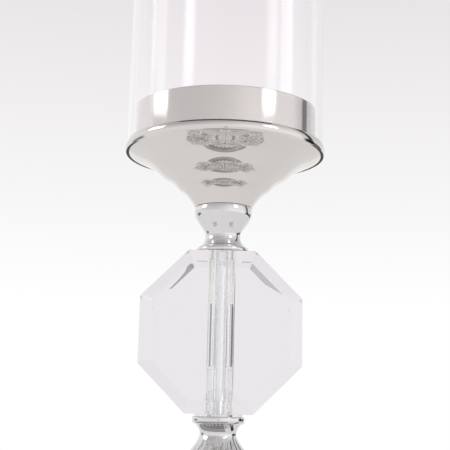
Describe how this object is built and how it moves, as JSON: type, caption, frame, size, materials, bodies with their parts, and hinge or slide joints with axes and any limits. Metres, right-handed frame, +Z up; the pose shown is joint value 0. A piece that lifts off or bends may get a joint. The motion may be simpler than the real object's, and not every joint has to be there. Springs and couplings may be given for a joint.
{
  "type": "hurricane candle holder",
  "caption": "Stemmed hurricane candle holder: clear glass chimney on a nickel trumpet gallery, bevelled crystal octagon stem and a reeded bell foot.",
  "frame": {"origin": "centre of the underside of the felt pad, on the surface the holder stands on", "axes": "+Z up along the tie rod, -Y out of the front face of the crystal, +X to the right seen from the front"},
  "size_m": [0.16, 0.16, 0.5819],
  "materials": {
    "polished_nickel": "mirror polish",
    "polished_chrome": "mirror polish",
    "zinc_plated_steel": "zinc plated",
    "satin_aluminium": "satin drawn tube",
    "cut_crystal": "polished, bevelled",
    "blown_glass": "clear, fire polished",
    "clear_washer": "milky, translucent",
    "cast_weight": "as cast",
    "felt": "pressed wool felt"
  },
  "bodies": {
    "stand": {"trumpet_gallery": "polished_nickel", "gallery_plate": "polished_nickel", "candle_collar": "polished_nickel", "foot_plinth": "polished_chrome", "fluted_pedestal": "polished_chrome", "stem_collar": "polished_chrome", "spool_knob": "polished_chrome", "base_washer": "zinc_plated_steel", "base_nut": "zinc_plated_steel", "tie_rod": "zinc_plated_steel", "cup_washer": "zinc_plated_steel", "cup_nut": "zinc_plated_steel", "rod_sleeve": "satin_aluminium", "felt_pad": "felt", "base_weight": "cast_weight", "lower_crystal_washer": "clear_washer", "upper_crystal_washer": "clear_washer", "crystal_octagon": "cut_crystal"},
    "chimney": {"glass_chimney": "blown_glass"}
  },
  "joints": [
    {"name": "chimney_lift", "type": "slide", "parent": "stand", "child": "chimney", "axis": [0, 0, 1], "range_m": [0, 0.06]}
  ]
}
